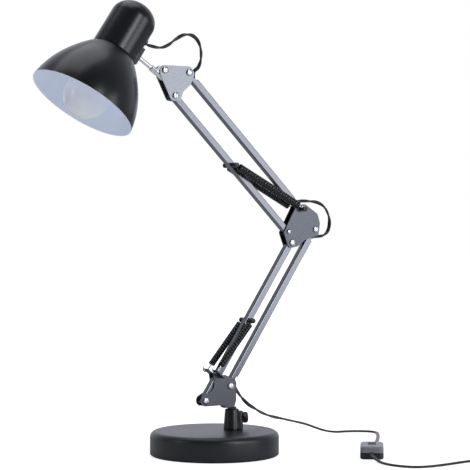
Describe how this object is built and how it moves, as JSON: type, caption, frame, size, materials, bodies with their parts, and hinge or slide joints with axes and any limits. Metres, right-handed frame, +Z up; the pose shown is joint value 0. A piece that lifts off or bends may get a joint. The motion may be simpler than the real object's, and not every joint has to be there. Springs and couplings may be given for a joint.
{
  "type": "swing arm desk lamp",
  "caption": "Desk lamp on a round weighted base: a spring balanced double swing arm of square tube carries a tilting bell shade; in-line switch and plug on its flex.",
  "frame": {"origin": "centre of the base's underside, on the table", "axes": "+Z up; the arms stand in the XZ plane at rest and the head reaches towards -X; +Y is the lamp's far side in the usual view"},
  "size_m": [0.6447, 0.4141, 0.5938],
  "materials": {
    "base_enamel": "gloss black enamel",
    "iron": "as cast",
    "pad": "matt black foam",
    "post_paint": "satin black",
    "zinc": "zinc plated",
    "black_plastic": "moulded black",
    "arm_paint": "silver grey metallic paint",
    "plate_paint": "grey metallic paint",
    "spring_black": "gloss black spring",
    "wire": "bright drawn wire",
    "chrome": "polished",
    "shade_enamel": "satin black outside, white inside",
    "holder": "white moulding",
    "cap": "bright",
    "opal": "frosted white",
    "cord": "black flex sheath",
    "switch_top": "dark grey moulding",
    "brass": "nickel plated brass"
  },
  "bodies": {
    "base": {"base_cover": "base_enamel", "base_weight": "iron", "base_pad": "pad", "base_post": "post_paint", "post_nut": "zinc", "cord_floor": "cord", "cord_tail": "cord", "cord_coil": "cord", "switch_base": "black_plastic", "switch_cover": "switch_top", "plug_body": "black_plastic", "plug_pins": "brass"},
    "knob": {"lock_knob": "black_plastic"},
    "lower_bracket": {"spindle": "post_paint", "lower_plate_near": "plate_paint", "lower_plate_far": "plate_paint", "bolt_lower_front": "zinc", "bolt_lower_rear": "zinc", "cord_hang": "cord"},
    "lower_front": {"lower_front_bar": "arm_paint", "lower_spring_pin": "black_plastic"},
    "lower_rear": {"lower_rear_bar": "arm_paint", "cord_lower_run": "cord"},
    "lower_hooks": {"lower_hook_near": "wire", "lower_hook_far": "wire"},
    "lower_springs": {"lower_spring_near": "spring_black", "lower_spring_far": "spring_black"},
    "elbow": {"elbow_plate_near": "plate_paint", "elbow_plate_far": "plate_paint", "bolt_elbow_front": "zinc", "bolt_elbow_rear": "zinc", "bolt_elbow_upper": "zinc", "elbow_spring_pin": "black_plastic", "cord_elbow_loop": "cord"},
    "upper_front": {"upper_front_bar": "arm_paint", "upper_spring_pin": "black_plastic"},
    "upper_rear": {"upper_rear_bar": "arm_paint", "cord_upper_run": "cord"},
    "upper_hooks": {"upper_hook_near": "wire", "upper_hook_far": "wire"},
    "upper_springs": {"upper_spring_near": "spring_black", "upper_spring_far": "spring_black"},
    "head_bracket": {"head_plate_near": "plate_paint", "head_plate_far": "plate_paint", "bolt_head_tilt": "zinc", "bolt_head_front": "zinc", "bolt_head_rear": "zinc", "cord_head_loop": "cord"},
    "tilt_arm": {"tilt_link": "chrome", "tilt_rod": "chrome"},
    "head": {"neck_cap": "shade_enamel", "shade": "shade_enamel", "rod_saddle": "black_plastic", "saddle_screw_lower": "black_plastic", "saddle_screw_upper": "black_plastic", "lamp_holder": "holder", "bulb_cap": "cap", "bulb_glass": "opal", "cord_grommet": "black_plastic"},
    "rocker": {"switch_rocker": "black_plastic"}
  },
  "joints": [
    {"name": "arm_swivel", "type": "hinge", "parent": "base", "child": "lower_bracket", "pos_m": [0.0276, 0, 0.0593], "axis": [0, 0, 1], "range_deg": [-120, 120], "deforming": ["cord_hang"]},
    {"name": "knob_turn", "type": "hinge", "parent": "base", "child": "knob", "pos_m": [0.0276, 0, 0.0473], "axis": [0.9272, -0.3746, 0], "range_deg": [-90, 90]},
    {"name": "lower_arm", "type": "hinge", "parent": "lower_bracket", "child": "lower_front", "pos_m": [-0.0174, 0, 0.0725], "axis": [0, -1, 0], "range_deg": [-16, 30]},
    {"name": "lower_rear_bar_turn", "type": "hinge", "parent": "elbow", "child": "lower_rear", "pos_m": [0.16087, 0, 0.29795], "axis": [0, -1, 0], "range_deg": [-16, 30]},
    {"name": "lower_hook_turn", "type": "hinge", "parent": "lower_bracket", "child": "lower_hooks", "pos_m": [-0.004, 0, 0.111], "axis": [0, -1, 0], "range_deg": [-23.28, 43.65]},
    {"name": "lower_spring_turn", "type": "hinge", "parent": "lower_front", "child": "lower_springs", "pos_m": [0.05214, 0, 0.17637], "axis": [0, -1, 0], "range_deg": [-7.28, 13.65]},
    {"name": "elbow_turn", "type": "hinge", "parent": "lower_front", "child": "elbow", "pos_m": [0.12167, 0, 0.28025], "axis": [0, -1, 0], "range_deg": [-30, 16], "deforming": ["cord_elbow_loop"]},
    {"name": "upper_arm", "type": "hinge", "parent": "elbow", "child": "upper_front", "pos_m": [0.11587, 0, 0.29505], "axis": [0, -1, 0], "range_deg": [-9, 40]},
    {"name": "upper_rear_bar_turn", "type": "hinge", "parent": "head_bracket", "child": "upper_rear", "pos_m": [-0.04265, 0, 0.50432], "axis": [0, -1, 0], "range_deg": [-9, 40]},
    {"name": "upper_hook_turn", "type": "hinge", "parent": "elbow", "child": "upper_hooks", "pos_m": [0.13687, 0, 0.32605], "axis": [0, -1, 0], "range_deg": [-8.19, 36.4]},
    {"name": "upper_spring_turn", "type": "hinge", "parent": "upper_front", "child": "upper_springs", "pos_m": [0.02611, 0, 0.38418], "axis": [0, -1, 0], "range_deg": [-3.6, 0.81]},
    {"name": "head_bracket_turn", "type": "hinge", "parent": "upper_front", "child": "head_bracket", "pos_m": [-0.06365, 0, 0.47332], "axis": [0, -1, 0], "range_deg": [-40, 9]},
    {"name": "head_tilt", "type": "hinge", "parent": "head_bracket", "child": "tilt_arm", "pos_m": [-0.07965, 0, 0.50612], "axis": [0, -1, 0], "range_deg": [-40, 40], "deforming": ["cord_head_loop"]},
    {"name": "head_turn", "type": "hinge", "parent": "tilt_arm", "child": "head", "pos_m": [-0.08401, 0, 0.49965], "axis": [-0.829, 0, 0.5592], "range_deg": [-75, 75]},
    {"name": "rocker_press", "type": "hinge", "parent": "base", "child": "rocker", "pos_m": [0.1628, -0.1302, 0.0155], "axis": [-0.7923, 0.6101, 0], "range_deg": [0, 10]}
  ],
  "couplings": [
    {"joint": "elbow_turn", "follows": "lower_arm", "ratio": -1},
    {"joint": "lower_rear_bar_turn", "follows": "lower_arm", "ratio": 1},
    {"joint": "lower_hook_turn", "follows": "lower_arm", "ratio": 1.455},
    {"joint": "lower_spring_turn", "follows": "lower_arm", "ratio": 0.455},
    {"joint": "head_bracket_turn", "follows": "upper_arm", "ratio": -1},
    {"joint": "upper_rear_bar_turn", "follows": "upper_arm", "ratio": 1},
    {"joint": "upper_hook_turn", "follows": "upper_arm", "ratio": 0.91},
    {"joint": "upper_spring_turn", "follows": "upper_arm", "ratio": -0.09}
  ]
}
